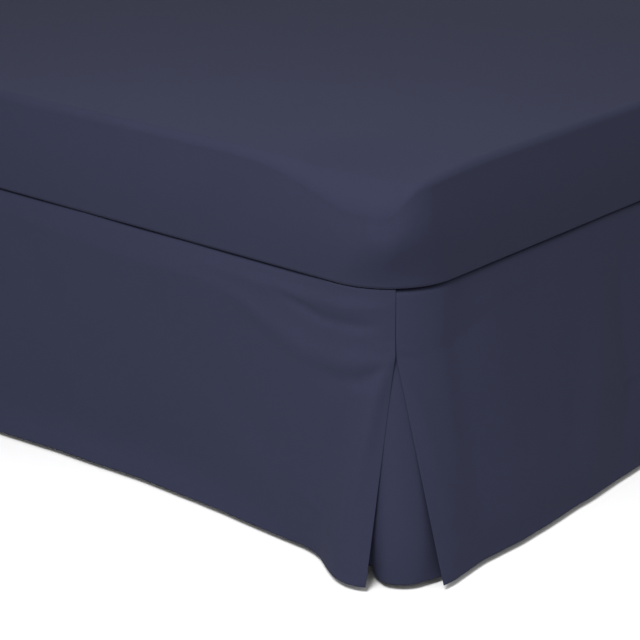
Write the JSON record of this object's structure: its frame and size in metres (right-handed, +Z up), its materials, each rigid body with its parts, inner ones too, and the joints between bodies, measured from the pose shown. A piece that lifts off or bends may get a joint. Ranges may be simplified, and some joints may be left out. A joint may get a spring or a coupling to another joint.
{
  "type": "fitted bed skirt on a mattress and bed base",
  "caption": "Navy fitted bed skirt on a double bed: a cover over the mattress and a plain skirt to the floor, with an open box pleat at each corner.",
  "frame": {"origin": "on the floor under the middle of the bed", "axes": "+Z up, +Y from the foot of the bed to its head, X across the bed"},
  "size_m": [1.4451, 2.0259, 0.5943],
  "materials": {
    "skirt_cotton": "matt woven polycotton, dyed navy",
    "mattress_ticking": "matt woven ticking",
    "base_cloth": "matt upholstery cloth",
    "glide_plastic": "smooth moulded plastic"
  },
  "bodies": {
    "root": {"mattress_cover": "skirt_cotton", "skirt_side_left": "skirt_cotton", "skirt_foot": "skirt_cotton", "skirt_side_right": "skirt_cotton", "skirt_head": "skirt_cotton", "pleat_insert_foot_left": "skirt_cotton", "pleat_insert_foot_right": "skirt_cotton", "pleat_insert_head_left": "skirt_cotton", "pleat_insert_head_right": "skirt_cotton", "mattress": "mattress_ticking", "bed_base": "base_cloth", "glide_foot_left": "glide_plastic", "glide_foot_right": "glide_plastic", "glide_middle_left": "glide_plastic", "glide_middle_right": "glide_plastic", "glide_head_left": "glide_plastic", "glide_head_right": "glide_plastic"}
  },
  "joints": []
}
